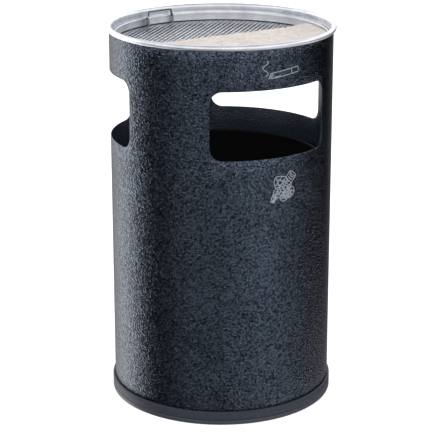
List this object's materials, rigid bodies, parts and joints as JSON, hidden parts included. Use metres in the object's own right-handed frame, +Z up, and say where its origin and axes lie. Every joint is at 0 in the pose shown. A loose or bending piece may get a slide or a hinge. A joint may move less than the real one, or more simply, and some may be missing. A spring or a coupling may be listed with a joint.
{
  "type": "ashtray bin",
  "caption": "Round free-standing waste bin with throw-in openings under a lift-off ash tray with sand, a lift-out sieve and a liner bucket inside.",
  "frame": {"origin": "centre of the circle that the bin stands on, on the floor", "axes": "+Z up; -Y towards the front, where the printed pictograms are; +X to the right of someone who stands in front of it"},
  "size_m": [0.3688, 0.3688, 0.618],
  "materials": {
    "hammered_paint": "hammered anthracite powder coat",
    "base_paint": "smooth anthracite powder coat",
    "floor_rubber": "matt",
    "print": "printed film",
    "aluminium": "spun and rolled, satin",
    "galvanised_wire": "galvanised",
    "rivet_steel": "zinc plated",
    "sand": "dry pale sand",
    "liner_black": "matt black coating",
    "grip_plastic": "moulded"
  },
  "bodies": {
    "housing": {"body_shell": "hammered_paint", "base_band": "base_paint", "base_plate": "base_paint", "floor_ring": "floor_rubber", "base_rivet_1": "rivet_steel", "base_rivet_2": "rivet_steel", "base_rivet_3": "rivet_steel", "base_rivet_4": "rivet_steel", "base_rivet_5": "rivet_steel", "base_rivet_6": "rivet_steel", "cigarette_pictogram": "print", "litter_pictogram": "print"},
    "tray": {"ash_tray": "aluminium", "sand_bed": "sand", "sand_cover": "sand"},
    "sieve": {"sieve_mesh": "galvanised_wire", "sieve_hoop": "aluminium", "rear_handle_lug_left": "galvanised_wire", "rear_handle_lug_right": "galvanised_wire"},
    "rear_handle": {"rear_handle_bail": "galvanised_wire"},
    "liner": {"liner_wall": "liner_black", "liner_bottom": "liner_black", "liner_ear_left": "liner_black", "liner_ear_right": "liner_black", "ear_rivet_left_1": "rivet_steel", "ear_rivet_left_2": "rivet_steel", "ear_rivet_right_1": "rivet_steel", "ear_rivet_right_2": "rivet_steel"},
    "liner_bail": {"liner_bail": "galvanised_wire", "bail_grip": "grip_plastic"}
  },
  "joints": [
    {"name": "tray_lift", "type": "slide", "parent": "housing", "child": "tray", "axis": [0, 0, 1], "range_m": [0, 0.75]},
    {"name": "sieve_lift", "type": "slide", "parent": "tray", "child": "sieve", "axis": [0, 0, 1], "range_m": [0, 0.05], "deforming": ["sand_cover"]},
    {"name": "rear_handle_fold", "type": "hinge", "parent": "sieve", "child": "rear_handle", "pos_m": [-0.02808, 0.16259, 0.6035], "axis": [0.9854, 0.1702, 0], "range_deg": [-30, 88]},
    {"name": "liner_lift", "type": "slide", "parent": "housing", "child": "liner", "axis": [0, 0, 1], "range_m": [0, 0.62]},
    {"name": "liner_bail_swing", "type": "hinge", "parent": "liner", "child": "liner_bail", "pos_m": [0, 0, 0.38], "axis": [-1, 0, 0], "range_deg": [0, 180]}
  ],
  "couplings": [
    {"joint": "liner_lift", "follows": "tray_lift", "ratio": 0.8266}
  ]
}
